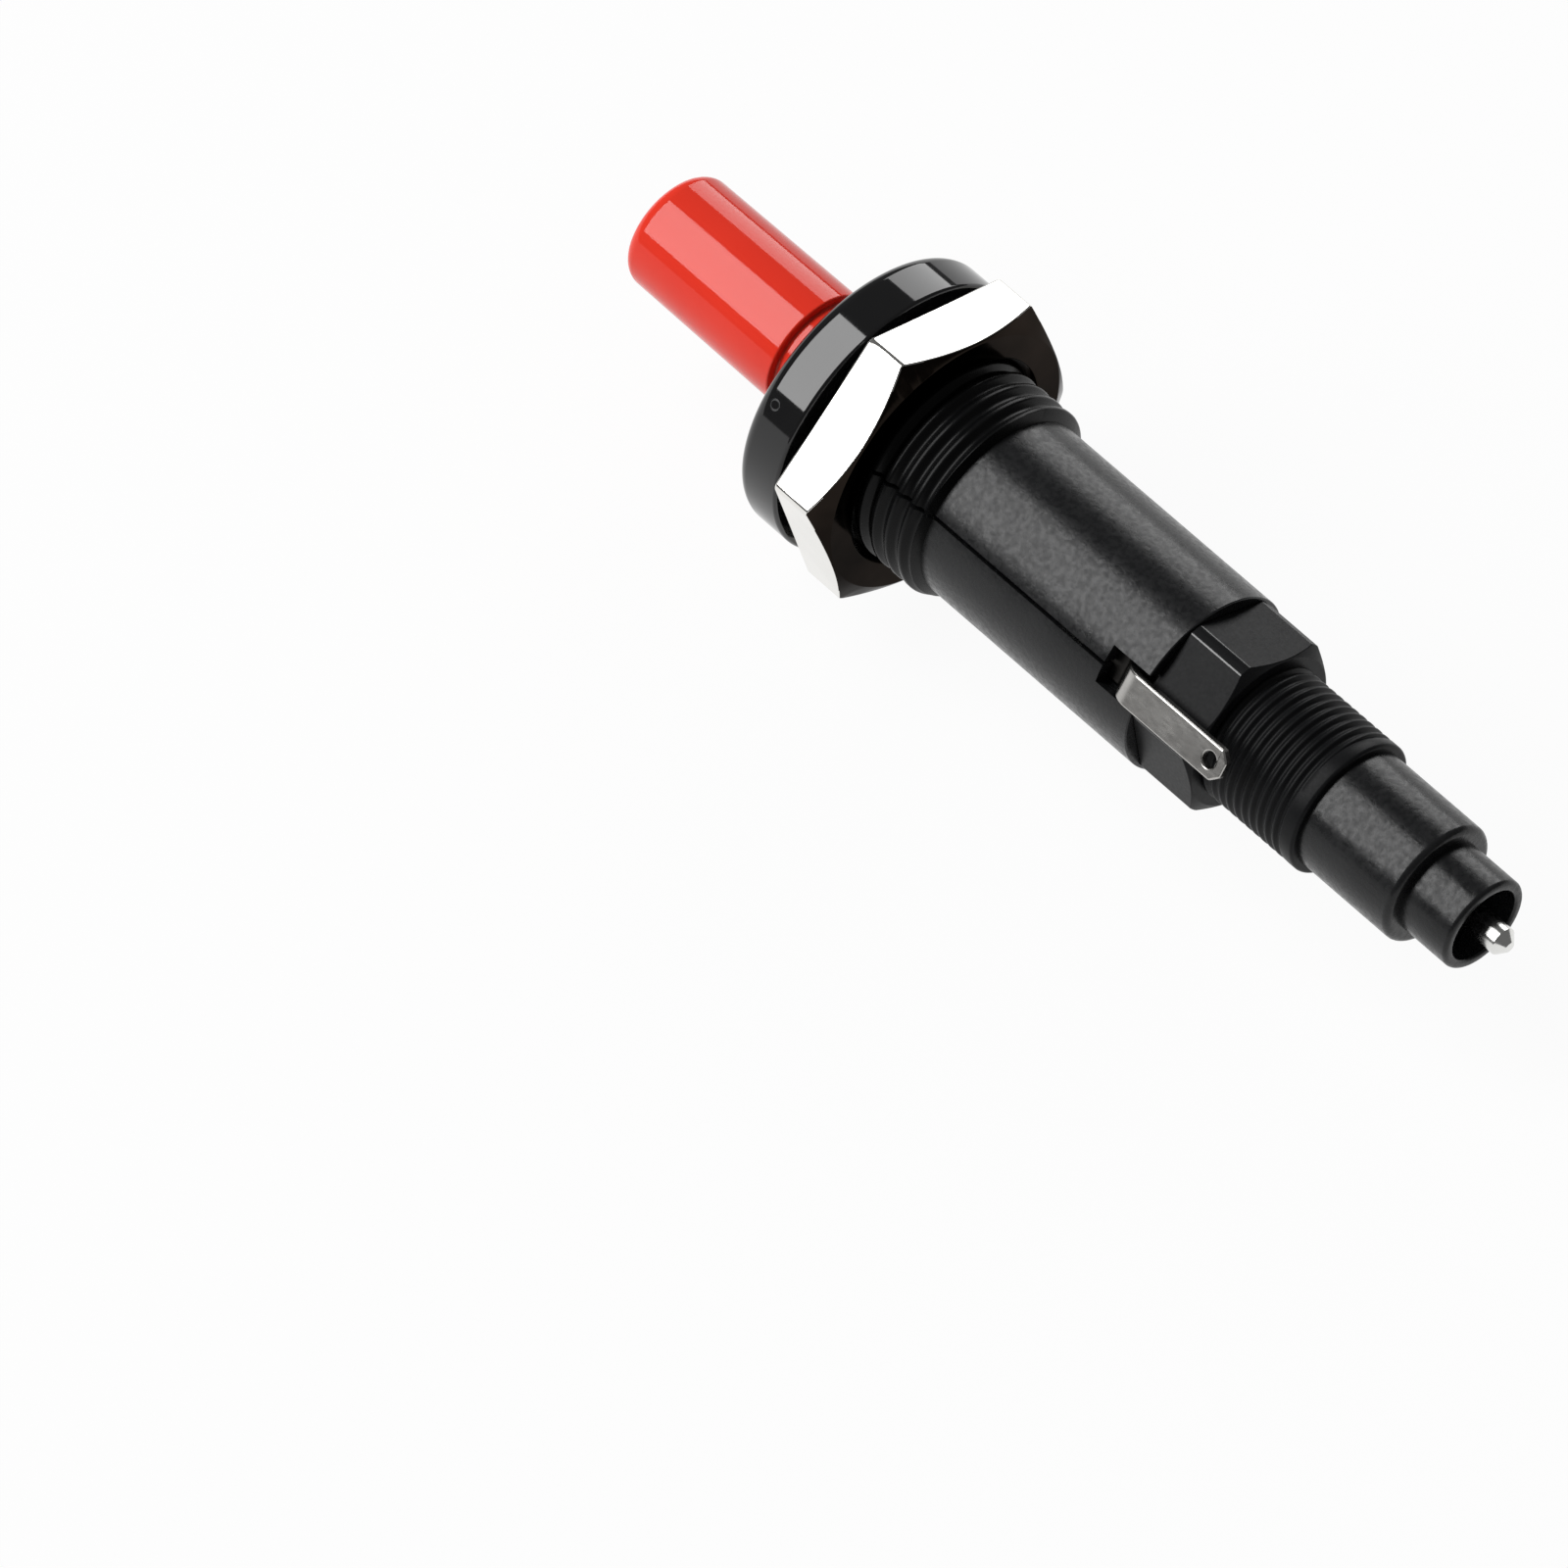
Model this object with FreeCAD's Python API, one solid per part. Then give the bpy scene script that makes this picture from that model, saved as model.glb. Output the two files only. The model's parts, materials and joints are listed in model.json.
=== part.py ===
import FreeCAD, Part
import math
import os

from FreeCAD import Vector

# Push-button piezo igniter for a panel hole. Millimetres.
# The origin is the centre of the flange's rear face, which seats on the panel.
# +X runs to the high-voltage terminal, the button is at -X, and +Z is up.
# A clock angle turns a feature about X, from +Z towards -Y.

# Housing: flange, threaded neck and barrel
flange_r = 12.5
flange_thickness = 4.5
flange_front_round = 0.9
flange_rear_round = 0.3
neck_r = 9.0
neck_length = 11.6
neck_end_chamfer = 0.3
barrel_r = 8.05
barrel_length = 22.9
housing_bore_r = 6.8
lip_thickness = 2.5
lip_clearance = 0.15
slit_width = 0.35
slit_start = 2.0
notch_width = 3.4
notch_length = 4.0

# Panel nut
nut_across_flats = 24.0
nut_thickness = 4.8
nut_gap_to_flange = 0.75
nut_clearance = 0.05
nut_chamfer_angle = 30.0
nut_face_r = 11.8
nut_bore_chamfer = 0.6

# Button
cap_base_r = 5.25
cap_front_r = 5.1
cap_proud = 21.5
cap_edge_round = 1.3
cap_wall = 1.2
cap_top_thickness = 1.8
press_fit_clearance = 0.03
stem_wall = 0.72
stem_end_wall = 3.0
collar_length = 4.0
collar_clearance = 0.08
skirt_wall = 0.9
skirt_length = 14.0
skirt_slot_width = 1.8
skirt_ramp_length = 2.2

# Motion
button_travel = 8.0
hammer_travel = 4.0
travel_margin = 1.0

# Guide sleeve and hammer
sleeve_wall = 0.8
sleeve_clearance = 0.1
sleeve_front_gap = 0.2
sleeve_flange_r = 6.7
sleeve_flange_thickness = 2.0
latch_slot_width = 1.6
latch_pocket_turn = 28.0
hammer_clearance = 0.06
hammer_length = 9.0
hammer_nose_r = 2.0
hammer_nose_length = 1.0
hammer_edge = 0.3
cross_pin_r = 0.75
cross_pin_clearance = 0.02
cross_pin_end_gap = 0.15
cross_pin_from_front = 5.0

# Springs
return_wire = 0.7
return_turns = 8
impact_wire = 0.6
impact_turns = 10
spring_clearance = 0.3
spring_end_gap = 0.05
closed_turn_spacing = 1.15
closed_end_halves = 2
wire_sides = 8
seat_thickness = 1.0
seat_clearance = 0.1

# Piezo stack
crystal_r = 3.1
crystal_length = 7.5
shim_thickness = 0.3
anvil_head_length = 5.4
anvil_flange_r = 4.0
anvil_flange_thickness = 1.0
washer_thickness = 0.4
stack_clearance = 0.05
crystal_sleeve_wall = 1.0
electrode_length = 3.6

# Rear insulator
spigot_clearance = 0.05
hex_across_flats = 14.0
hex_corner_r = 7.82
hex_length = 6.1
hex_face_r = 6.9
hex_chamfer_angle = 30.0
thread_r = 6.0
thread_length = 10.0
thread_end_round = 0.6
cylinder_r = 5.35
cylinder_length = 9.7
cylinder_end_round = 0.8
nose_r = 4.07
nose_length = 5.0
nose_end_round = 0.5
nose_bore_r = 3.2
nose_bore_depth = 8.3

# High-voltage terminal
terminal_r = 1.2
terminal_shank_r = 1.6
terminal_proud = 2.7
terminal_point = 0.75
terminal_head_r = 2.2
terminal_head_thickness = 0.8
terminal_clearance = 0.02

# Ground strip, which ends in a 2.8 mm tab
tab_width = 2.8
tab_thickness = 0.8
tab_side_clearance = 0.1
tab_inner_r = 7.9
tab_end_from_hex = 3.6
tab_corner_cut = 0.75
tab_hole_r = 0.65
tab_hole_from_end = 1.5
strip_bend_r = 1.2
strip_bend_angle = 60.0
strip_bend_end_gap = 0.4

# Clock angles
tab_clock = 56.3
nut_clock = 14.8
hex_clock = 8.0
cross_pin_clock = 90.0

# How far a cutting shape passes the surface that it cuts through
cut_past = 1.0

# Places along X that follow from the sizes above
flange_front = -flange_thickness
lip_rear = flange_front + lip_thickness
barrel_end = neck_length + barrel_length
cap_front = flange_front - cap_proud
collar_rear = lip_rear + collar_length
skirt_end = collar_rear + skirt_length
sleeve_front = lip_rear + button_travel
skirt_bore_start = lip_rear - sleeve_front_gap
sleeve_flange_front = skirt_end + button_travel + travel_margin
sleeve_end = sleeve_flange_front + sleeve_flange_thickness
spigot_front = sleeve_end + washer_thickness
stack_start = spigot_front + anvil_flange_thickness
shim_front = stack_start + crystal_length
rear_crystal_front = shim_front + shim_thickness
electrode_front = rear_crystal_front + crystal_length
stack_end = electrode_front + electrode_length
hex_end = barrel_end + hex_length
thread_end = hex_end + thread_length
cylinder_end = thread_end + cylinder_length
nose_end = cylinder_end + nose_length
nose_floor = nose_end - nose_bore_depth
terminal_tip = nose_end + terminal_proud
anvil_front = spigot_front - anvil_head_length
hammer_rear = anvil_front - hammer_travel
hammer_shoulder = hammer_rear - hammer_nose_length
hammer_front = hammer_rear - hammer_length - hammer_nose_length
cross_pin_x = hammer_front + cross_pin_from_front
stem_front = cap_front + cap_top_thickness
seat_front = stem_front + stem_end_wall
seat_rear = seat_front + seat_thickness

# Radii that follow from the sizes above
lip_r = cap_base_r + lip_clearance
cap_bore_r = cap_base_r - cap_wall
stem_r = cap_bore_r - press_fit_clearance
stem_bore_r = stem_r - stem_wall
collar_r = housing_bore_r - collar_clearance
sleeve_bore_r = stem_bore_r
sleeve_r = sleeve_bore_r + sleeve_wall
skirt_bore_r = sleeve_r + sleeve_clearance
skirt_r = skirt_bore_r + skirt_wall
hammer_r = sleeve_bore_r - hammer_clearance
spigot_r = housing_bore_r - spigot_clearance
crystal_bore_r = crystal_r + stack_clearance
crystal_sleeve_r = crystal_bore_r + crystal_sleeve_wall
stack_bore_r = crystal_sleeve_r + stack_clearance

# The ground strip's floor keeps its upper corners inside the housing's bore
strip_top_r = math.sqrt(spigot_r ** 2 - (tab_width / 2) ** 2)
strip_floor_r = strip_top_r - tab_thickness


def turned(points):
    """A solid turned about X from a closed outline of (x, radius) points."""
    outline = [Vector(x, r, 0) for x, r in points]
    face = Part.Face(Part.makePolygon(outline + outline[:1]))
    return face.revolve(Vector(0, 0, 0), Vector(1, 0, 0), 360)


def rod(x0, x1, r):
    """A round bar along X."""
    return Part.makeCylinder(r, x1 - x0, Vector(x0, 0, 0), Vector(1, 0, 0))


def tube(x0, x1, r_out, r_in):
    """A round tube along X."""
    return turned([(x0, r_in), (x1, r_in), (x1, r_out), (x0, r_out)])


def clocked(shape, angle):
    """The shape turned about X from +Z towards -Y."""
    turned_copy = shape.copy()
    turned_copy.rotate(Vector(0, 0, 0), Vector(1, 0, 0), angle)
    return turned_copy


def rims(shape, places):
    """The circular edges about X at the given (x, radius) places."""
    found = []
    for edge in shape.Edges:
        curve = edge.Curve
        if not isinstance(curve, Part.Circle):
            continue
        for x, r in places:
            if abs(curve.Center.x - x) < 0.001 and abs(curve.Radius - r) < 0.001:
                found.append(edge)
    return found


def rounded(shape, radius, *places):
    """The shape with its rims at the given (x, radius) places rounded."""
    return shape.makeFillet(radius, rims(shape, places))


def corner_r(across_flats):
    """The radius that a hexagon's corners reach."""
    return across_flats / (2 * math.cos(math.pi / 6))


def hexagon(x0, x1, across_flats, clock):
    """A hexagonal bar along X with a corner at the clock angle."""
    corner = corner_r(across_flats)
    outline = []
    for k in range(6):
        turn = math.radians(60 * k)
        outline.append(Vector(x0, -corner * math.sin(turn), corner * math.cos(turn)))
    face = Part.Face(Part.makePolygon(outline + outline[:1]))
    return clocked(face.extrude(Vector(x1 - x0, 0, 0)), clock)


def radial_block(x0, x1, width, r0, r1):
    """A block that stands out along +Z from r0 to r1."""
    return Part.makeBox(x1 - x0, width, r1 - r0, Vector(x0, -width / 2, r0))


def radial_cut(points, r0, r1):
    """A prism that stands out along +Z, from a closed outline of (x, y) points."""
    outline = [Vector(x, y, r0) for x, y in points]
    face = Part.Face(Part.makePolygon(outline + outline[:1]))
    return face.extrude(Vector(0, 0, r1 - r0))


def wire_section(middle, wire, turn):
    """The coil's wire section in the plane z = 0, a polygon of few sides to save facets."""
    outline = []
    for k in range(wire_sides):
        angle = turn + 2 * math.pi * k / wire_sides
        outline.append(middle + Vector(math.cos(angle), math.sin(angle), 0) * (wire / 2))
    return Part.Face(Part.makePolygon(outline + outline[:1]))


def spring(x0, x1, mean_r, wire, turns):
    """A coil between two seats, with closed end turns.

    Each half turn is the wire section swung half round a tilted axis. They meet
    where the wire runs along Z, each with the section that the last one ended in.
    """
    halves = 2 * turns
    closed = wire * closed_turn_spacing / 2
    span = x1 - x0 - wire - 2 * spring_end_gap
    advance = (span - 2 * closed_end_halves * closed) / (halves - 2 * closed_end_halves)
    x = x0 + wire / 2 + spring_end_gap
    turn = 0
    swept = []
    for k in range(halves):
        at_end = k < closed_end_halves or k >= halves - closed_end_halves
        step = closed if at_end else advance
        side = 1 if k % 2 == 0 else -1
        section = wire_section(Vector(x, side * mean_r, 0), wire, turn)
        axis = Vector(-2 * mean_r, -side * step, 0)
        swept.append(section.revolve(Vector(x + step / 2, 0, 0), axis, 180))
        turn = 2 * side * math.atan2(step, 2 * mean_r) - turn
        x += step
    return swept[0].multiFuse(swept[1:])


def housing():
    """Flange, neck and barrel in one moulding, with its slit and tab notch."""
    neck_crest_end = neck_length - neck_end_chamfer
    outline = [
        (flange_front, lip_r),
        (lip_rear, lip_r),
        (lip_rear, housing_bore_r),
        (barrel_end, housing_bore_r),
        (barrel_end, barrel_r),
        (neck_length, barrel_r),
        (neck_crest_end, neck_r),
        (0, neck_r),
        (0, flange_r),
        (flange_front, flange_r),
    ]
    body = turned(outline)
    body = rounded(body, flange_front_round, (flange_front, flange_r))
    body = rounded(body, flange_rear_round, (0, flange_r))
    wall_inside = housing_bore_r - cut_past
    notch_start = barrel_end - notch_length
    notch = radial_block(notch_start, barrel_end + cut_past, notch_width, wall_inside, flange_r)
    slit = radial_block(slit_start, notch_start + cut_past, slit_width, wall_inside, flange_r)
    return body.cut(clocked(notch.fuse(slit), tab_clock))


def hex_nut():
    """Panel nut, chamfered on its rear face only."""
    front = nut_gap_to_flange
    rear = front + nut_thickness
    bore_r = neck_r + nut_clearance
    corner = corner_r(nut_across_flats) + cut_past
    fall = (corner - nut_face_r) * math.tan(math.radians(nut_chamfer_angle))
    outline = [
        (front, bore_r + nut_bore_chamfer),
        (front + nut_bore_chamfer, bore_r),
        (rear - nut_bore_chamfer, bore_r),
        (rear, bore_r + nut_bore_chamfer),
        (rear, nut_face_r),
        (rear - fall, corner),
        (front, corner),
    ]
    return hexagon(front, rear, nut_across_flats, nut_clock).common(turned(outline))


def button_cap():
    """Hollow button, drafted from its base to its rounded front."""
    outline = [
        (cap_front, 0),
        (cap_front, cap_front_r),
        (flange_front, cap_base_r),
        (lip_rear, cap_base_r),
        (lip_rear, cap_bore_r),
        (stem_front, cap_bore_r),
        (stem_front, 0),
    ]
    return rounded(turned(outline), cap_edge_round, (cap_front, cap_front_r))


def plunger():
    """Stem, stop collar and slotted skirt, which the button cap is pressed on."""
    outline = [
        (stem_front, 0),
        (stem_front, stem_r),
        (lip_rear, stem_r),
        (lip_rear, collar_r),
        (collar_rear, collar_r),
        (collar_rear, skirt_r),
        (skirt_end, skirt_r),
        (skirt_end, skirt_bore_r),
        (skirt_bore_start, skirt_bore_r),
        (skirt_bore_start, stem_bore_r),
        (seat_front, stem_bore_r),
        (seat_front, 0),
    ]
    slot_front = cross_pin_x - cross_pin_r - sleeve_clearance - button_travel
    half = skirt_slot_width / 2
    slot = [
        (slot_front, -half),
        (slot_front, half + skirt_ramp_length / 2),
        (slot_front + skirt_ramp_length, half),
        (skirt_end + cut_past, half),
        (skirt_end + cut_past, -half),
    ]
    body = turned(outline)
    for turn in (0, 180):
        cut = radial_cut(slot, sleeve_bore_r, collar_r)
        body = body.cut(clocked(cut, cross_pin_clock + turn))
    return body


def spring_seat():
    """Steel disc between the plunger's end wall and the impact spring."""
    return rod(seat_front, seat_rear, stem_bore_r - seat_clearance)


def return_spring():
    """Coil between the plunger's collar and the guide sleeve's flange."""
    mean_r = (skirt_r + housing_bore_r) / 2
    return spring(collar_rear, sleeve_flange_front, mean_r, return_wire, return_turns)


def impact_spring():
    """Coil between the spring seat and the hammer."""
    mean_r = stem_bore_r - spring_clearance - impact_wire / 2
    return spring(seat_rear, hammer_front, mean_r, impact_wire, impact_turns)


def guide_sleeve():
    """Fixed tube that guides the hammer, with two slots and latch pockets."""
    outline = [
        (sleeve_front, sleeve_bore_r),
        (sleeve_end, sleeve_bore_r),
        (sleeve_end, sleeve_flange_r),
        (sleeve_flange_front, sleeve_flange_r),
        (sleeve_flange_front, sleeve_r),
        (sleeve_front, sleeve_r),
    ]
    body = turned(outline)
    half = latch_slot_width / 2
    slot_front = cross_pin_x - half
    slot_rear = cross_pin_x + hammer_travel + half
    pocket_reach = sleeve_r * math.tan(math.radians(latch_pocket_turn))
    slot = [
        (slot_front, -half),
        (slot_front, pocket_reach),
        (slot_front + latch_slot_width, pocket_reach),
        (slot_front + latch_slot_width, half),
        (slot_rear, half),
        (slot_rear, -half),
    ]
    for turn in (0, 180):
        cut = radial_cut(slot, hammer_nose_r, skirt_r)
        body = body.cut(clocked(cut, cross_pin_clock + turn))
    return body


def hammer():
    """Steel striker with a reduced nose and a cross hole for its pin."""
    outline = [
        (hammer_front, 0),
        (hammer_front, hammer_r - hammer_edge),
        (hammer_front + hammer_edge, hammer_r),
        (hammer_shoulder - hammer_edge, hammer_r),
        (hammer_shoulder, hammer_r - hammer_edge),
        (hammer_shoulder, hammer_nose_r),
        (hammer_rear, hammer_nose_r),
        (hammer_rear, 0),
    ]
    return turned(outline).cut(cross_bar(cross_pin_r + cross_pin_clearance, hammer_r + cut_past))


def cross_bar(r, reach):
    """A round bar across the axis at the hammer pin's place."""
    bar = Part.makeCylinder(r, 2 * reach, Vector(cross_pin_x, 0, -reach), Vector(0, 0, 1))
    return clocked(bar, cross_pin_clock)


def hammer_pin():
    """Cross pin that runs through the hammer into the plunger's slots."""
    return cross_bar(cross_pin_r, skirt_r - cross_pin_end_gap)


def anvil():
    """Steel cap that takes the blow and passes it to the crystals."""
    outline = [
        (anvil_front, 0),
        (anvil_front, sleeve_bore_r - stack_clearance),
        (spigot_front, sleeve_bore_r - stack_clearance),
        (spigot_front, anvil_flange_r),
        (stack_start, anvil_flange_r),
        (stack_start, 0),
    ]
    return turned(outline)


def earth_washer():
    """Metal ring that joins the anvil to the ground strip."""
    return tube(sleeve_end, spigot_front, sleeve_flange_r, sleeve_bore_r)


def crystal_sleeve():
    """Insulating tube around the two crystals and the electrode."""
    return tube(stack_start, stack_end, crystal_sleeve_r, crystal_bore_r)


def piezo_crystal(x0):
    """One lead-zirconate-titanate cylinder."""
    return rod(x0, x0 + crystal_length, crystal_r)


def crystal_shim():
    """Brass disc between the crystals."""
    return rod(shim_front, rear_crystal_front, crystal_r)


def hv_electrode():
    """Steel backing disc, recessed for the terminal's head."""
    recess_r = terminal_head_r + terminal_clearance
    recess = rod(stack_end - terminal_head_thickness, stack_end, recess_r)
    return rod(electrode_front, stack_end, crystal_r).cut(recess)


def hv_terminal_pin():
    """Headed pin that carries the spark out of the nose, thicker where the nose holds it."""
    outline = [
        (stack_end - terminal_head_thickness, 0),
        (stack_end - terminal_head_thickness, terminal_head_r),
        (stack_end, terminal_head_r),
        (stack_end, terminal_shank_r),
        (nose_floor, terminal_shank_r),
        (nose_floor, terminal_r),
        (terminal_tip - terminal_point, terminal_r),
        (terminal_tip, terminal_r - terminal_point),
        (terminal_tip, 0),
    ]
    return turned(outline)


def hex_section():
    """Spanner hexagon with turned corners and a chamfered rear."""
    fall = (hex_corner_r - hex_face_r) * math.tan(math.radians(hex_chamfer_angle))
    outline = [
        (barrel_end, 0),
        (barrel_end, hex_corner_r),
        (hex_end - fall, hex_corner_r),
        (hex_end, hex_face_r),
        (hex_end, 0),
    ]
    return hexagon(barrel_end, hex_end, hex_across_flats, hex_clock).common(turned(outline))


def rear_insulator():
    """Spigot, hexagon, connector thread, cylinder and hollow nose in one moulding."""
    rear = turned([
        (spigot_front, 0),
        (spigot_front, spigot_r),
        (barrel_end, spigot_r),
        (barrel_end, thread_r),
        (thread_end, thread_r),
        (thread_end, cylinder_r),
        (cylinder_end, cylinder_r),
        (cylinder_end, nose_r),
        (nose_end, nose_r),
        (nose_end, 0),
    ])
    rear = rounded(rear, thread_end_round, (thread_end, thread_r))
    rear = rounded(rear, cylinder_end_round, (cylinder_end, cylinder_r))
    rear = rounded(rear, nose_end_round, (nose_end, nose_r))
    body = rear.fuse(hex_section()).removeSplitter()
    body = body.cut(rod(spigot_front, stack_end, stack_bore_r))
    body = body.cut(rod(stack_end, nose_floor, terminal_shank_r + terminal_clearance))
    body = body.cut(rod(nose_floor, nose_end, nose_bore_r))
    groove_width = tab_width + 2 * tab_side_clearance
    groove = radial_block(spigot_front, barrel_end, groove_width, strip_floor_r, housing_bore_r)
    return body.cut(clocked(groove, tab_clock))


def strip_side(offset):
    """The ground strip's (x, z) route at a height above its lower face."""
    turn = math.radians(strip_bend_angle)
    tab_floor = tab_inner_r
    rise = tab_floor - strip_floor_r
    ramp = (rise - 2 * strip_bend_r * (1 - math.cos(turn))) / math.sin(turn)
    run = 2 * strip_bend_r * math.sin(turn) + ramp * math.cos(turn)
    bend_end = barrel_end - strip_bend_end_gap
    bend_start = bend_end - run
    low = Vector(bend_start, 0, strip_floor_r + strip_bend_r)
    high = Vector(bend_end, 0, tab_floor - strip_bend_r)
    low_r = strip_bend_r - offset
    high_r = strip_bend_r + offset
    return low, high, low_r, high_r, turn


def strip_points(offset):
    """Start, bend tangents and middles, and end of one face of the strip."""
    low, high, low_r, high_r, turn = strip_side(offset)
    tab_end = hex_end + tab_end_from_hex

    def below(centre, r, angle):
        return centre + Vector(r * math.sin(angle), 0, -r * math.cos(angle))

    def above(centre, r, angle):
        return centre + Vector(-r * math.sin(angle), 0, r * math.cos(angle))

    return [
        Vector(spigot_front, 0, strip_floor_r + offset),
        below(low, low_r, 0),
        below(low, low_r, turn / 2),
        below(low, low_r, turn),
        above(high, high_r, turn),
        above(high, high_r, turn / 2),
        above(high, high_r, 0),
        Vector(tab_end, 0, tab_inner_r + offset),
    ]


def strip_edges(points):
    """The straight runs and bends through one face's points."""
    start, low_a, low_m, low_b, high_a, high_m, high_b, end = points
    return [
        Part.LineSegment(start, low_a).toShape(),
        Part.Arc(low_a, low_m, low_b).toShape(),
        Part.LineSegment(low_b, high_a).toShape(),
        Part.Arc(high_a, high_m, high_b).toShape(),
        Part.LineSegment(high_b, end).toShape(),
    ]


def ground_strip():
    """Pressed strip from the earth washer, cranked out through the notch to its tab."""
    lower = strip_points(0)
    upper = strip_points(tab_thickness)
    edges = strip_edges(lower) + strip_edges(upper)
    edges.append(Part.LineSegment(lower[0], upper[0]).toShape())
    edges.append(Part.LineSegment(lower[-1], upper[-1]).toShape())
    side = Part.Face(Part.Wire(Part.__sortEdges__(edges)))
    body = side.extrude(Vector(0, tab_width, 0))
    body.translate(Vector(0, -tab_width / 2, 0))
    tab_end = lower[-1].x
    for sign in (-1, 1):
        outside = sign * (tab_width / 2 + cut_past)
        corner = [
            (tab_end + cut_past, outside),
            (tab_end + cut_past, sign * (tab_width / 2 - tab_corner_cut - cut_past)),
            (tab_end - tab_corner_cut - cut_past, outside),
        ]
        body = body.cut(radial_cut(corner, tab_inner_r - cut_past, flange_r))
    hole_x = tab_end - tab_hole_from_end
    hole_base = Vector(hole_x, 0, tab_inner_r - cut_past)
    hole = Part.makeCylinder(tab_hole_r, tab_thickness + 2 * cut_past, hole_base)
    return clocked(body.cut(hole), tab_clock)


def pieces():
    """Every separate piece by its name."""
    return {
        "housing": housing(),
        "rear_insulator": rear_insulator(),
        "hex_nut": hex_nut(),
        "button_cap": button_cap(),
        "plunger": plunger(),
        "spring_seat": spring_seat(),
        "return_spring": return_spring(),
        "impact_spring": impact_spring(),
        "guide_sleeve": guide_sleeve(),
        "hammer": hammer(),
        "hammer_pin": hammer_pin(),
        "anvil": anvil(),
        "earth_washer": earth_washer(),
        "ground_strip": ground_strip(),
        "piezo_crystal_front": piezo_crystal(stack_start),
        "crystal_shim": crystal_shim(),
        "piezo_crystal_rear": piezo_crystal(rear_crystal_front),
        "crystal_sleeve": crystal_sleeve(),
        "hv_electrode": hv_electrode(),
        "hv_terminal_pin": hv_terminal_pin(),
    }


os.makedirs("parts", exist_ok=True)
for name, shape in pieces().items():
    shape.exportStep(os.path.join("parts", name + ".step"))
    box = shape.BoundBox
    print(name, shape.isValid(), len(shape.Solids), round(shape.Volume, 2), end=" ")
    print(round(box.XMin, 2), round(box.XMax, 2))
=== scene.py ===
import json
import math

import bmesh
import bpy
from mathutils import Matrix, Vector

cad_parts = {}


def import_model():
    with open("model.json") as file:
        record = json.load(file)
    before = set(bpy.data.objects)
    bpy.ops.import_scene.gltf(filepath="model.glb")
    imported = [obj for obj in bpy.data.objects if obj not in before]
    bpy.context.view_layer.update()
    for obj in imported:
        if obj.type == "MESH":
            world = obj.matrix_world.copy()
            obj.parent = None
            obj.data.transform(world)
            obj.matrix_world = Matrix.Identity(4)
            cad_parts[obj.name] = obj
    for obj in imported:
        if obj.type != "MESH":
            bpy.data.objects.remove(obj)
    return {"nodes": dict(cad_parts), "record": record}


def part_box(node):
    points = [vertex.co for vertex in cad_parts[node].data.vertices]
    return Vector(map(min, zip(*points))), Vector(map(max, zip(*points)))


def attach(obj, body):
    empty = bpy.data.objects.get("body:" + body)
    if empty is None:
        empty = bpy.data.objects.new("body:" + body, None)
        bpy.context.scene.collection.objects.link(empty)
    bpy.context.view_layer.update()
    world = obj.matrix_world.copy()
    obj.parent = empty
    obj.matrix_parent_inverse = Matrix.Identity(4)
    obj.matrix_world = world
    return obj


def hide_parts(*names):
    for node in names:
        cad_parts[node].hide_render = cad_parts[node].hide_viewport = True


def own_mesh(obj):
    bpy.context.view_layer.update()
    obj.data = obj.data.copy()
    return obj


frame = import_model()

# Push-button piezo igniter, dressed around its frame. Lengths are in millimetres
# and become metres when a mesh is made. +X runs to the high-voltage terminal.
# A clock angle turns from +Z towards -Y.
MM = 0.001
TAU = 2 * math.pi
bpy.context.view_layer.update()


def ends(node):
    """A node's two ends along X."""
    low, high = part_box(node)
    return low.x / MM, high.x / MM


def mount_radius(name):
    """The radius that the record states for a round mount."""
    mount = next(m for m in frame["record"]["mounts"] if m["name"] == name)
    return mount["dims"]["r_mm"]


# Places and radii that the frame gives
flange_front, barrel_end = ends("housing")
cap_front, lip_rear = ends("button_cap")
nut_front, nut_rear = ends("hex_nut")
spigot_front, nose_end = ends("rear_insulator")
stack_end = ends("hv_electrode")[1]
pin_head_front, pin_tip = ends("hv_terminal_pin")
strip_front, tab_end = ends("ground_strip")
return_coil_front, return_coil_rear = ends("return_spring")
impact_coil_front, impact_coil_rear = ends("impact_spring")
rear_thread_r = mount_radius("connector_thread")
pin_r = mount_radius("hv_terminal")

# Housing
flange_r = 12.5
flange_front_round = 1.2
flange_rear_round = 0.3
flange_rear = 0.0
neck_r = 9.0
neck_end = 11.6
neck_end_chamfer = 0.3
barrel_r = 8.05
barrel_edge_round = 0.12
housing_bore_r = 6.8
lip_r = 5.4
lip_edge_round = 0.15
slit_width = 0.35
slit_start = 2.0
slit_depth_r = 6.2
notch_width = 3.4
notch_length = 4.0
gate_x = -2.8
gate_clock = 53.2
gate_r = 0.5
gate_groove = 0.17
gate_depth = 0.12
gate_margin = 0.01

# Threads: pitch, root radius and form, as (share of the pitch, share of the depth)
neck_pitch = 1.5
neck_root_r = 8.5
rear_pitch = 0.84
rear_root_r = 5.72
rear_thread_fade = 0.35
thread_form = [
    (0.00, 0.0), (0.10, 0.02), (0.17, 0.12), (0.31, 0.78), (0.37, 0.95), (0.42, 1.0),
    (0.58, 1.0), (0.63, 0.95), (0.69, 0.78), (0.83, 0.12), (0.90, 0.02),
]

# Panel nut
nut_across_flats = 24.0
nut_corner_round = 0.6
nut_corner_offsets = [0, 0.42, 0.84, 1.255]
nut_face_r = 11.8
nut_chamfer_angle = 30.0
nut_bore_r = 9.05
nut_bore_chamfer = 0.6
nut_edge_round = 0.22
# The nut's faces turned this far towards the rear carry a painted dark reflection
nut_painted_reflection_facing = 0.6

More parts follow.
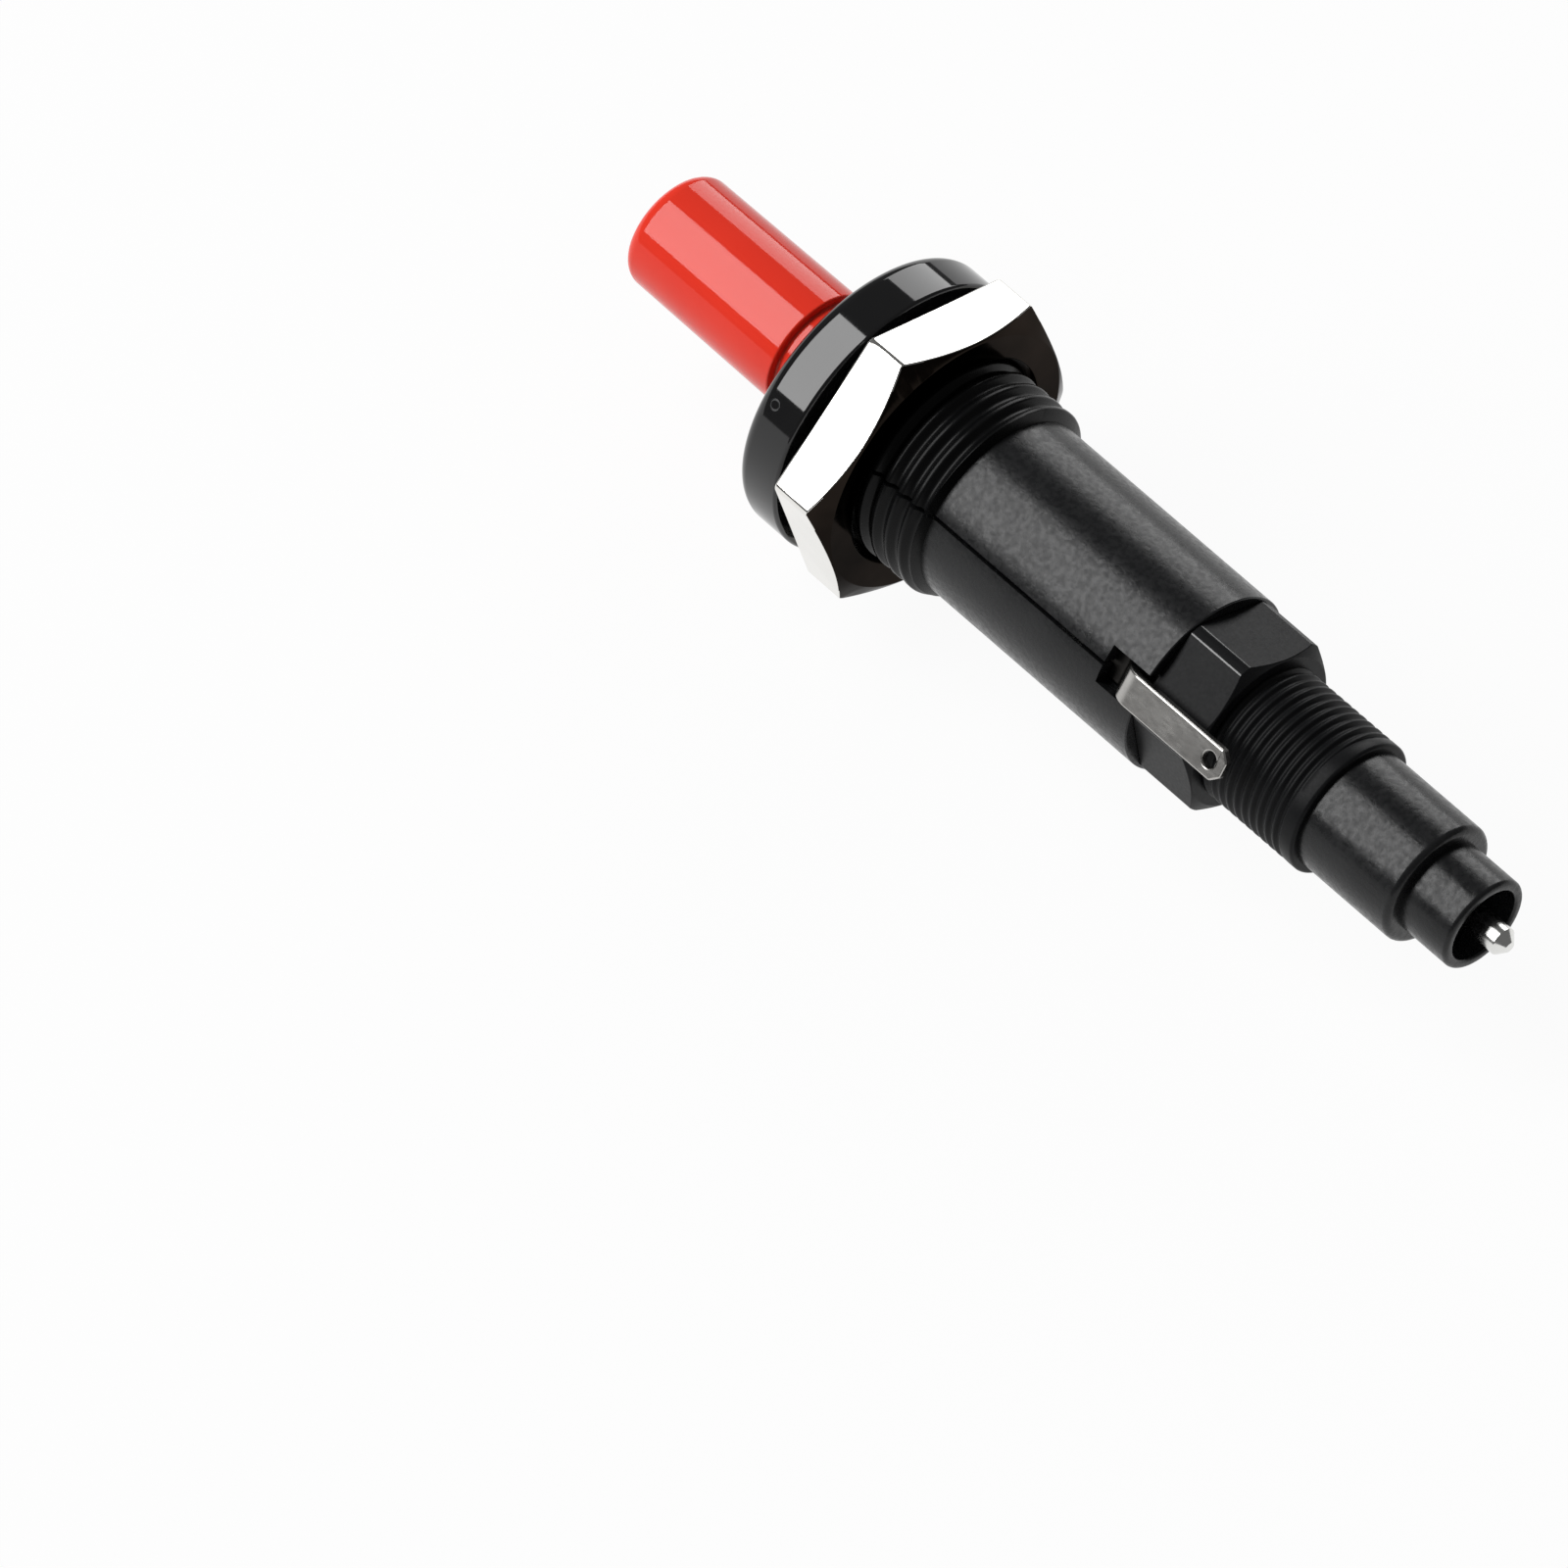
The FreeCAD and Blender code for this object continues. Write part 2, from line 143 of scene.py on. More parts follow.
# Button
cap_front_r = 5.1
cap_base_r = 5.25
cap_edge_round = 1.3
cap_bore_r = 4.05
cap_top_thickness = 1.8
cap_waist_start = -9.03
cap_waist_r = 4.5
cap_step_round = 0.18

# Rear moulding
spigot_r = 6.75
hex_across_flats = 14.0
hex_corner_r = 7.82
hex_corner_blend = 0.06
hex_edge_step = 0.45
hex_facet_offsets = [0, 1.2]
hex_side_share = 0.3
hex_end = 40.6
hex_face_r = 6.9
hex_chamfer_angle = 30.0
hex_edge_round = 0.12
rear_thread_end = 49.3
band_end = 50.6
band_round = 0.6
band_low_r = 5.4
cylinder_r = 5.35
cylinder_end = 60.3
cylinder_round = 0.8
nose_r = 4.07
nose_round = 0.5
nose_bore_r = 3.2
nose_bore_round = 0.25
nose_floor = 57.0
stack_bore_r = 4.2
pin_clearance = 0.02
groove_width = 3.0
groove_floor_r = 5.8

# Terminal pin
pin_head_r = 2.2
pin_head_rear = stack_end
pin_shank_r = 1.6
pin_point = 0.75
pin_round = 0.12

# Ground strip and its tab
tab_width = 2.8
tab_thickness = 0.8
tab_inner_r = 7.9
strip_floor_r = 5.803
strip_bend_r = 1.2
strip_bend_angle = 60.0
strip_bend_end_gap = 0.4
tab_corner_cut = 0.75
tab_hole_r = 0.65
tab_hole_from_end = 1.5
tab_edge_round = 0.16
tab_edge_segments = 3
tab_edge_limit = math.radians(30)
# The strip's faces below this radius get painted shade
strip_painted_shade_r = 7.8

# Springs
return_mean_r = 5.95
return_wire = 0.7
return_turns = 8
impact_mean_r = 2.7
impact_wire = 0.6
impact_turns = 10
closed_turn_spacing = 1.15

# Clock angles, in degrees
tab_clock = 56.3
nut_clock = 14.8
hex_clock = 8.0

# How far a cutter passes the surface that it cuts through
cut_past = 1.0

# Mesh density
plain_columns = 192
pin_columns = 96
hole_steps = 48
bend_steps = 10
arc_steps = 5
round_reach = 0.45
weld = 0.0004 * MM
sharp_angle = math.radians(38)


def clock_point(x, r, a):
    """A point at radius r and clock angle a, in metres."""
    return Vector((x, -r * math.sin(a), r * math.cos(a))) * MM


def rounded(points, steps=arc_steps):
    """An (x, r) outline with each corner rounded to its third number, within round_reach of its sides."""
    outline = []
    for i, (x, r, size) in enumerate(points):
        corner = Vector((x, r))
        if not size:
            outline.append(corner)
            continue
        before = Vector(points[i - 1][:2]) - corner
        after = Vector(points[(i + 1) % len(points)][:2]) - corner
        turn = math.pi - before.angle(after)
        longest = round_reach * min(before.length, after.length)
        reach = min(size * math.tan(turn / 2), longest)
        start = corner + before.normalized() * reach
        end = corner + after.normalized() * reach
        pull = math.cos(turn / 2)
        for k in range(steps + 1):
            t = k / steps
            a, b, c = (1 - t) ** 2, 2 * pull * t * (1 - t), t ** 2
            outline.append((a * start + b * corner + c * end) / (a + b + c))
    return outline


def even_columns(count, extra=()):
    """Clock angles once round, with a few extra ones, both ends included."""
    angles = {round(TAU * k / count, 9) for k in range(count + 1)}
    angles |= {round(a % TAU, 9) for a in extra}
    return sorted(angles)


def lathe(columns, outline_at):
    """Rows of points round X from the outline at each clock angle."""
    outlines = [outline_at(a) for a in columns]
    rows = range(len(outlines[0]))
    return [[clock_point(*outlines[j][i], a) for j, a in enumerate(columns)] for i in rows]


def form_height(u):
    """The thread form's share of its depth at a share of the pitch."""
    ring = thread_form + [(1.0, thread_form[0][1])]
    for (u0, h0), (u1, h1) in zip(ring, ring[1:]):
        if u <= u1:
            return h0 + (h1 - h0) * (u - u0) / (u1 - u0)
    return ring[-1][1]


def thread_radius(pitch, root, crest, x, a):
    """The radius of a right-hand thread at x and clock angle a."""
    return root + (crest - root) * form_height((x / pitch - a / TAU) % 1.0)


def thread_rows(columns, pitch, root, crest, x0, x1):
    """Rows along the helix, held between x0 and x1."""
    rows = []
    for turn in range(math.floor(x0 / pitch) - 1, math.ceil(x1 / pitch) + 1):
        for u, _ in thread_form:
            row = []
            for a in columns:
                x = min(max(pitch * (turn + u + a / TAU), x0), x1)
                row.append(clock_point(x, thread_radius(pitch, root, crest, x, a), a))
            rows.append(row)
    return rows


def to_object(name, made):
    """A scene object from a finished bmesh."""
    mesh = bpy.data.meshes.new(name)
    made.to_mesh(mesh)
    made.free()
    piece = bpy.data.objects.new(name, mesh)
    bpy.context.scene.collection.objects.link(piece)
    return piece


def skin(name, *grids):
    """A welded closed mesh from (rows, material place) grids."""
    made = bmesh.new()
    for rows, slot in grids:
        verts = [[made.verts.new(p) for p in row] for row in rows]
        for low, high in zip(verts, verts[1:]):
            for j in range(len(low) - 1):
                face = made.faces.new((low[j], low[j + 1], high[j + 1], high[j]))
                face.material_index = slot
    bmesh.ops.remove_doubles(made, verts=made.verts, dist=weld)
    bmesh.ops.recalc_face_normals(made, faces=made.faces)
    for face in made.faces:
        face.smooth = True
    return to_object(name, made)


def radial_block(x0, x1, width, r0, r1, clock):
    """A cutter that stands out along a clock angle from r0 to r1."""
    made = bmesh.new()
    size = Vector((x1 - x0, width, r1 - r0)) * MM
    centre = Vector(((x0 + x1) / 2, 0, (r0 + r1) / 2)) * MM
    turn = Matrix.Rotation(math.radians(clock), 4, "X")
    place = turn @ Matrix.Translation(centre) @ Matrix.Diagonal((*size, 1))
    bmesh.ops.create_cube(made, size=1, matrix=place)
    return to_object("cutter", made)


def radial_ring(x, r0, r1, r_in, r_out, clock, steps=32):
    """A cutter shaped as a short tube, or as a pin where r_in is 0, along a clock angle."""
    made = bmesh.new()
    turn = Matrix.Rotation(math.radians(clock), 4, "X")
    walls = [(r_in, r0), (r_out, r0), (r_out, r1), (r_in, r1), (r_in, r0)]
    rings = []
    for w, h in walls:
        ring = []
        for k in range(steps + 1):
            a = TAU * k / steps
            ring.append(made.verts.new(turn @ (Vector((x + w * math.cos(a), w * math.sin(a), h)) * MM)))
        rings.append(ring)
    for low, high in zip(rings, rings[1:]):
        for j in range(steps):
            made.faces.new((low[j], low[j + 1], high[j + 1], high[j]))
    bmesh.ops.remove_doubles(made, verts=made.verts, dist=weld)
    bmesh.ops.recalc_face_normals(made, faces=made.faces)
    return to_object("cutter", made)


def baked(piece):
    """The piece with its modifiers applied to its mesh."""
    depsgraph = bpy.context.evaluated_depsgraph_get()
    mesh = bpy.data.meshes.new_from_object(piece.evaluated_get(depsgraph))
    piece.modifiers.clear()
    piece.data = mesh
    return piece


def cut(piece, *cutters):
    """The piece with the cutters taken out of it."""
    for cutter in cutters:
        change = piece.modifiers.new("cut", "BOOLEAN")
        change.operation = "DIFFERENCE"
        change.solver = "EXACT"
        change.object = cutter
    baked(piece)
    for cutter in cutters:
        bpy.data.objects.remove(cutter)
    return piece


def even_normals(piece):
    """Crisp edges, and flat faces that stay flat beside their rounded edges."""
    piece.data.set_sharp_from_angle(angle=sharp_angle)
    change = piece.modifiers.new("even_normals", "WEIGHTED_NORMAL")
    change.keep_sharp = True
    return piece


def finish_faces(piece, slot, chosen):
    """Gives the faces that are chosen by centre, in millimetres, and normal another material place."""
    for face in piece.data.polygons:
        if chosen(face.center / MM, face.normal):
            face.material_index = slot


def hexagon_radius(a, across_flats, clock):
    """A hexagon's radius at clock angle a, with a corner at the clock angle."""
    from_flat = (a - math.radians(clock + 30)) % (TAU / 6)
    from_flat = min(from_flat, TAU / 6 - from_flat)
    return across_flats / 2 / math.cos(from_flat)


def from_corner(a, clock):
    """The angle from the nearest corner of a hexagon."""
    turn = (a - math.radians(clock)) % (TAU / 6)
    return min(turn, TAU / 6 - turn)


def nut_radius(a):
    """The nut's outside radius, with its corners rounded."""
    off = from_corner(a, nut_clock)
    centre = (nut_across_flats / 2 - nut_corner_round) / math.cos(TAU / 12)
    limit = TAU / 12 - math.atan(centre * math.sin(TAU / 12) / (nut_across_flats / 2))
    if off >= limit:
        return hexagon_radius(a, nut_across_flats, nut_clock)
    reach = math.sqrt(nut_corner_round ** 2 - (centre * math.sin(off)) ** 2)
    return centre * math.cos(off) + reach


def hex_radius(a):
    """The spanner hexagon's radius, with turned corners that blend into the flats."""
    flat = hexagon_radius(a, hex_across_flats, hex_clock)
    overlap = max(hex_corner_blend - abs(flat - hex_corner_r), 0) / hex_corner_blend
    return min(flat, hex_corner_r) - overlap ** 2 * hex_corner_blend / 4


def corner_columns(clock, offsets):
    """Clock angles at the given offsets, in degrees, either side of each corner."""
    signed = [side * offset for offset in offsets for side in (-1, 1)]
    return [math.radians(clock + 60 * corner + offset) for corner in range(6) for offset in signed]


def housing_moulding():
    """Flange, threaded neck and barrel with the slit, the notch and the ring of the gate mark."""
    columns = even_columns(plain_columns)
    flange = rounded([
        (lip_rear, lip_r, 0),
        (flange_front, lip_r, lip_edge_round),
        (flange_front, flange_r, flange_front_round),
        (flange_rear, flange_r, flange_rear_round),
        (flange_rear, neck_r, 0),
    ], steps=8)
    barrel = rounded([
        (neck_end, barrel_r, 0),
        (barrel_end, barrel_r, barrel_edge_round),
        (barrel_end, housing_bore_r, 0),
        (lip_rear, housing_bore_r, 0),
        (lip_rear, lip_r, 0),
    ])
    neck = (neck_pitch, neck_root_r, neck_r)
    crest_end = neck_end - neck_end_chamfer
    start = lathe(columns, lambda a: [(0, neck_r), (0, thread_radius(*neck, 0, a))])
    close = lathe(columns, lambda a: [
        (crest_end, thread_radius(*neck, crest_end, a)),
        (neck_end, barrel_r),
    ])
    piece = skin(
        "housing_moulding",
        (lathe(columns, lambda a: flange), 1),
        (start, 2),
        (thread_rows(columns, *neck, 0, crest_end), 2),
        (close, 2),
        (lathe(columns, lambda a: barrel), 0),
    )
    notch_start = barrel_end - notch_length
    notch = radial_block(notch_start, barrel_end + cut_past, notch_width, slit_depth_r, flange_r, tab_clock)
    slit = radial_block(slit_start, notch_start + cut_past, slit_width, slit_depth_r, flange_r, tab_clock)
    gate_floor = flange_r - gate_depth
    gate_inner_r = gate_r - gate_groove
    gate = radial_ring(gate_x, gate_floor, flange_r + cut_past, gate_inner_r, gate_r, gate_clock)
    cut(piece, notch, slit, gate)

    def in_gate_mark(centre, normal):
        sunk = gate_floor - gate_margin < centre.yz.length < flange_r - gate_margin
        return sunk and abs(centre.x - gate_x) < gate_r + gate_margin

    finish_faces(piece, 3, in_gate_mark)
    return even_normals(piece)


def rear_moulding():
    """Spigot, spanner hexagon, fine thread, cylinder and hollow nose."""
    turned_edge = math.degrees(TAU / 12 - math.acos(hex_across_flats / 2 / hex_corner_r))
    offsets = hex_facet_offsets + [turned_edge + hex_edge_step * k for k in range(-2, 3)]
    columns = even_columns(plain_columns, corner_columns(hex_clock, offsets))
    thread = (rear_pitch, rear_root_r, rear_thread_r)

    def front(a):
        flat_r = hex_radius(a)
        chamfer = hex_end - (flat_r - hex_face_r) * math.tan(math.radians(hex_chamfer_angle))
        return rounded([
            (spigot_front, stack_bore_r, 0),
            (spigot_front, spigot_r, 0),
            (barrel_end, spigot_r, 0),
            (barrel_end, flat_r, hex_edge_round),
            (chamfer, flat_r, hex_edge_round),
            (hex_end, hex_face_r, hex_edge_round),
            (hex_end, thread_radius(*thread, hex_end, a), 0),
        ])

    fade_end = rear_thread_end + rear_thread_fade
    fade = lathe(columns, lambda a: [
        (rear_thread_end, thread_radius(*thread, rear_thread_end, a)),
        (fade_end, rear_thread_r),
    ])
    rear = rounded([
        (fade_end, rear_thread_r, 0),
        (band_end, rear_thread_r, band_round),
        (band_end, cylinder_r, 0),
        (cylinder_end, cylinder_r, cylinder_round),
        (cylinder_end, nose_r, 0),
        (nose_end, nose_r, nose_round),
        (nose_end, nose_bore_r, nose_bore_round),
        (nose_floor, nose_bore_r, 0),
        (nose_floor, pin_shank_r + pin_clearance, 0),
        (stack_end, pin_shank_r + pin_clearance, 0),
        (stack_end, stack_bore_r, 0),
        (spigot_front, stack_bore_r, 0),
    ], steps=6)
    piece = skin(
        "rear_moulding",
        (lathe(columns, front), 1),
        (thread_rows(columns, *thread, hex_end, rear_thread_end), 1),
        (fade, 1),
        (lathe(columns, lambda a: rear), 0),
    )
    groove_start = spigot_front - cut_past
    groove_top_r = spigot_r + cut_past
    groove = radial_block(groove_start, barrel_end, groove_width, groove_floor_r, groove_top_r, tab_clock)

    def on_corner_edge(centre, normal):
        off = math.degrees(from_corner(math.atan2(-centre.y, centre.z), hex_clock))
        along = barrel_end < centre.x < hex_end and abs(normal.x) < hex_side_share
        return along and centre.yz.length > hex_face_r and abs(off - turned_edge) < hex_edge_step

    def on_band(centre, normal):
        return hex_end < centre.x <= band_end and centre.yz.length > band_low_r

    cut(piece, groove)
    finish_faces(piece, 2, on_corner_edge)
    finish_faces(piece, 1, on_band)
    return even_normals(piece)


def panel_nut():
    """Hexagon nut with rounded corners and a turned chamfer, with a painted dark reflection on the faces
    that face the rear.
    """
    columns = even_columns(plain_columns, corner_columns(nut_clock, nut_corner_offsets))

    def outline(a):
        flat_r = nut_radius(a)
        chamfer = nut_rear - (flat_r - nut_face_r) * math.tan(math.radians(nut_chamfer_angle))
        return rounded([
            (nut_front + nut_bore_chamfer, nut_bore_r, 0),
            (nut_front, nut_bore_r + nut_bore_chamfer, 0),
            (nut_front, flat_r, nut_edge_round),
            (chamfer, flat_r, nut_edge_round),
            (nut_rear, nut_face_r, nut_edge_round),
            (nut_rear, nut_bore_r + nut_bore_chamfer, nut_edge_round),
            (nut_rear - nut_bore_chamfer, nut_bore_r, 0),
            (nut_front + nut_bore_chamfer, nut_bore_r, 0),
        ], steps=4)

    piece = skin("panel_nut", (lathe(columns, outline), 0))
    # Painted dark reflection: the rear face and chamfer get nickel darkened to near black
    finish_faces(piece, 1, lambda centre, normal: normal.x > nut_painted_reflection_facing and centre.x > nut_front)
    return even_normals(piece)


def red_button():
    """Hollow button, rounded in front, drafted to its step, with a narrower waist in the flange."""
    stem_front = cap_front + cap_top_thickness
    draft = (cap_base_r - cap_front_r) / (flange_front - cap_front)
    cap_waist_base_r = cap_front_r + draft * (cap_waist_start - cap_front)
    outline = rounded([
        (cap_front, 0, 0),
        (cap_front, cap_front_r, cap_edge_round),
        (cap_waist_start, cap_waist_base_r, cap_step_round),
        (cap_waist_start, cap_waist_r, cap_step_round),
        (lip_rear, cap_waist_r, 0),
        (lip_rear, cap_bore_r, 0),
        (stem_front, cap_bore_r, 0),
        (stem_front, 0, 0),
    ], steps=12)
    return even_normals(skin("red_button", (lathe(even_columns(plain_columns), lambda a: outline), 0)))


def terminal_pin():
    """Headed pin with a short cone and a small flat at its tip."""
    outline = rounded([
        (pin_head_front, 0, 0),
        (pin_head_front, pin_head_r, 0),
        (pin_head_rear, pin_head_r, 0),
        (pin_head_rear, pin_shank_r, 0),
        (nose_floor, pin_shank_r, 0),
        (nose_floor, pin_r, 0),
        (pin_tip - pin_point, pin_r, pin_round),
        (pin_tip, pin_r - pin_point, pin_round),
        (pin_tip, 0, 0),
    ])
    return even_normals(skin("terminal_pin", (lathe(even_columns(pin_columns), lambda a: outline), 0)))


def strip_route():
    """(x, radius) of the strip's lower face and its direction at each station."""
    turn = math.radians(strip_bend_angle)
    rise = tab_inner_r - strip_floor_r
    ramp = (rise - 2 * strip_bend_r * (1 - math.cos(turn))) / math.sin(turn)
    run = 2 * strip_bend_r * math.sin(turn) + ramp * math.cos(turn)
    bend_end = barrel_end - strip_bend_end_gap
    low = Vector((bend_end - run, strip_floor_r + strip_bend_r))
    high = Vector((bend_end, tab_inner_r - strip_bend_r))
    route = [(Vector((strip_front, strip_floor_r)), 0.0)]
    for k in range(bend_steps + 1):
        a = turn * k / bend_steps
        route.append((low + strip_bend_r * Vector((math.sin(a), -math.cos(a))), a))
    for k in range(bend_steps, -1, -1):
        a = turn * k / bend_steps
        route.append((high + strip_bend_r * Vector((-math.sin(a), math.cos(a))), a))
    route.append((Vector((tab_end - tab_corner_cut, tab_inner_r)), 0.0))
    route.append((Vector((tab_end, tab_inner_r)), 0.0))
    return route


def earth_strip():
    """Pressed strip, with painted shade below the barrel, that cranks out through the notch to the drilled
    tab.
    """
    turn = Matrix.Rotation(math.radians(tab_clock), 3, "X")
    route = strip_route()
    made = bmesh.new()
    rings = []
    for k, (place, angle) in enumerate(route):
        half = tab_width / 2 - (tab_corner_cut if k == len(route) - 1 else 0)
        up = Vector((-math.sin(angle), math.cos(angle))) * tab_thickness
        ring = []
        for side, lift in ((-1, 0), (1, 0), (1, 1), (-1, 1)):
            spot = place + lift * up
            ring.append(made.verts.new(turn @ (Vector((spot.x, side * half, spot.y)) * MM)))
        rings.append(ring)
    for low, high in zip(rings, rings[1:]):
        for j in range(4):
            made.faces.new((low[j], low[(j + 1) % 4], high[(j + 1) % 4], high[j]))
    made.faces.new(rings[0])
    made.faces.new(rings[-1])
    bmesh.ops.recalc_face_normals(made, faces=made.faces)
    piece = to_object("earth_strip", made)
    hole_x = tab_end - tab_hole_from_end
    hole_bottom_r = tab_inner_r - cut_past
    hole_top_r = tab_inner_r + 2 * cut_past
    hole = radial_ring(hole_x, hole_bottom_r, hole_top_r, 0, tab_hole_r, tab_clock, hole_steps)
    cut(piece, hole)
    # Painted shade on the strip where it lies under the barrel
    finish_faces(piece, 1, lambda centre, normal: centre.yz.length < strip_painted_shade_r)
    piece.data.shade_smooth()
    edges = piece.modifiers.new("edges", "BEVEL")
    edges.width = tab_edge_round * MM
    edges.segments = tab_edge_segments
    edges.limit_method = "ANGLE"
    edges.angle_limit = tab_edge_limit
    edges.harden_normals = True
    return piece


def coil(name, x0, x1, mean_r, wire, turns, steps=48, sides=12):
    """A round-wire coil with closed and capped ends."""
    closed = wire * closed_turn_spacing
    start = x0 + wire / 2
    span = x1 - x0 - wire
    open_advance = (span - 2 * closed) / (turns - 2)
    made = bmesh.new()
    x = start
    rings = []
    for k in range(turns * steps + 1):
        a = TAU * k / steps
        out = Vector((0, -math.sin(a), math.cos(a)))
        ring = []
        for j in range(sides):
            b = TAU * j / sides
            spot = Vector((x, 0, 0)) + out * (mean_r + wire / 2 * math.cos(b))
            spot.x += wire / 2 * math.sin(b)
            ring.append(made.verts.new(spot * MM))
        rings.append(ring)
        turn_now = k / steps
        x += (closed if turn_now < 1 or turn_now >= turns - 1 else open_advance) / steps
    for low, high in zip(rings, rings[1:]):
        for j in range(sides):
            made.faces.new((low[j], low[(j + 1) % sides], high[(j + 1) % sides], high[j]))
    made.faces.new(rings[0])
    made.faces.new(rings[-1])
    bmesh.ops.recalc_face_normals(made, faces=made.faces)
    for face in made.faces:
        face.smooth = True
    piece = to_object(name, made)
    piece.data.set_sharp_from_angle(angle=sharp_angle)
    return piece


# A finish's noise: the part of its range in use, and its patches' size in grains
noise_low = 0.3
noise_high = 0.7
patch_grains = 8


def surface(name, dark, light, rough, grain, bump, metallic=0.0, stretch=(1, 1, 1), specular=0.5,
            edge_tint=1.0):
    """A procedural finish: colour varies in patches and roughness in grains, with a fine bump.

    dark and light are colours, rough is a (low, high) pair, grain is a size in millimetres
    and bump is a height in millimetres. stretch scales the noise along each axis. A low
    edge_tint takes the glare off a metal at grazing angles.
    """
    material = bpy.data.materials.new(name)
    material.use_nodes = True
    nodes = material.node_tree.nodes
    links = material.node_tree.links
    shader = nodes["Principled BSDF"]
    shader.inputs["Metallic"].default_value = metallic
    shader.inputs["Specular IOR Level"].default_value = specular
    shader.inputs["Specular Tint"].default_value = (edge_tint, edge_tint, edge_tint, 1)
    place = nodes.new("ShaderNodeTexCoord")
    scale = nodes.new("ShaderNodeMapping")
    scale.inputs["Scale"].default_value = stretch
    links.new(place.outputs["Object"], scale.inputs["Vector"])

    def noise(size, detail):
        node = nodes.new("ShaderNodeTexNoise")
        node.inputs["Scale"].default_value = 1 / (size * MM)
        node.inputs["Detail"].default_value = detail
        links.new(scale.outputs["Vector"], node.inputs["Vector"])
        return node.outputs["Fac"]

    def spread(value, low, high):
        node = nodes.new("ShaderNodeMapRange")
        node.inputs["From Min"].default_value = noise_low
        node.inputs["From Max"].default_value = noise_high
        node.inputs["To Min"].default_value = low
        node.inputs["To Max"].default_value = high
        links.new(value, node.inputs["Value"])
        return node.outputs["Result"]

    patches = noise(grain * patch_grains, 3)
    grains = noise(grain, 4)
    colour = nodes.new("ShaderNodeMix")
    colour.data_type = "RGBA"
    colour.inputs["A"].default_value = (*dark, 1)
    colour.inputs["B"].default_value = (*light, 1)
    links.new(spread(patches, 0, 1), colour.inputs["Factor"])
    links.new(colour.outputs["Result"], shader.inputs["Base Color"])
    links.new(spread(grains, *rough), shader.inputs["Roughness"])
    relief = nodes.new("ShaderNodeBump")
    relief.inputs["Strength"].default_value = 1.0
    relief.inputs["Distance"].default_value = bump * MM
    links.new(grains, relief.inputs["Height"])
    links.new(relief.outputs["Normal"], shader.inputs["Normal"])
    return material


def finishes():
    """Every finish by its slot in the record, and the finishes that some faces of a piece have instead."""
    return {
        "black_moulding": surface(
            "satin_black", (0.0075, 0.0078, 0.0085), (0.012, 0.0123, 0.013), (0.20, 0.38), 0.45, 0.02,
            specular=0.28),
        "flat_black": surface(
            "flat_black", (0.007, 0.0073, 0.008), (0.010, 0.0103, 0.011), (0.34, 0.42), 0.25, 0.004,
            specular=0.09),
        "edge_black": surface(
            "edge_black", (0.007, 0.0073, 0.008), (0.010, 0.0103, 0.011), (0.22, 0.28), 0.25, 0.002,
            specular=0.8),
        "thread_black": surface(
            "thread_black", (0.003, 0.0031, 0.0033), (0.005, 0.0051, 0.0054), (0.22, 0.30), 0.5, 0.002,
            specular=0.11),
        "gate_grey": surface(
            "gate_grey", (0.07, 0.071, 0.074), (0.10, 0.101, 0.104), (0.3, 0.4), 0.3, 0.002),
        "gloss_black": surface(
            "gloss_black", (0.005, 0.005, 0.0055), (0.008, 0.008, 0.0085), (0.04, 0.07), 1.6, 0.001),
        "red_moulding": surface(
            "gloss_red", (0.86, 0.040, 0.020), (0.92, 0.050, 0.026), (0.05, 0.09), 1.8, 0.002,
            specular=0.28),
        "pale_moulding": surface(
            "natural_moulding", (0.70, 0.69, 0.64), (0.80, 0.79, 0.75), (0.35, 0.5), 0.4, 0.01),
        "bright_nickel": surface(
            "bright_nickel", (0.76, 0.75, 0.72), (0.84, 0.83, 0.80), (0.05, 0.10), 0.9, 0.002, metallic=1.0),
        # Nickel darkened to near black: a painted reflection of dark surroundings, for the nut's rear faces
        "nickel_painted_dark_reflection": surface(
            "nickel_painted_dark_reflection", (0.007, 0.0055, 0.0045), (0.020, 0.015, 0.012), (0.08, 0.16), 0.9, 0.002,
            metallic=1.0, edge_tint=0.55),
        "pin_nickel": surface(
            "pin_nickel", (0.72, 0.72, 0.70), (0.82, 0.82, 0.80), (0.14, 0.22), 0.5, 0.002, metallic=1.0),
        "tinned_strip": surface(
            "tinned_strip", (0.40, 0.39, 0.375), (0.52, 0.51, 0.49), (0.22, 0.28), 0.3, 0.0008,
            metallic=1.0, stretch=(0.3, 1, 1)),
        # Near-black painted shade for the part of the strip under the barrel
        "strip_painted_shade": surface(
            "strip_painted_shade", (0.02, 0.019, 0.018), (0.04, 0.038, 0.036), (0.4, 0.5), 0.3, 0.002, metallic=1.0),
        "plain_steel": surface(
            "plain_steel", (0.44, 0.44, 0.45), (0.56, 0.56, 0.57), (0.22, 0.36), 0.12, 0.003,
            metallic=1.0, stretch=(1, 0.15, 0.15)),
        "spring_steel": surface(
            "spring_steel", (0.36, 0.36, 0.38), (0.48, 0.48, 0.50), (0.22, 0.34), 0.2, 0.003, metallic=1.0),
        "piezo_ceramic": surface(
            "piezo_ceramic", (0.56, 0.50, 0.38), (0.68, 0.62, 0.50), (0.55, 0.75), 0.2, 0.006),
        "brass_disc": surface(
            "brass_disc", (0.66, 0.49, 0.21), (0.76, 0.59, 0.30), (0.2, 0.32), 0.15, 0.003,
            metallic=1.0, stretch=(1, 0.1, 1)),
        "clear_insulation": surface(
            "milky_insulation", (0.80, 0.81, 0.79), (0.88, 0.89, 0.87), (0.18, 0.28), 0.6, 0.003),
    }


def dress(piece, body, node, slot, *materials):
    """Puts a piece on its body in place of a CAD node, with its finish."""
    for material in materials:
        piece.data.materials.append(material)
    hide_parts(node)
    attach(piece, body)
    return piece


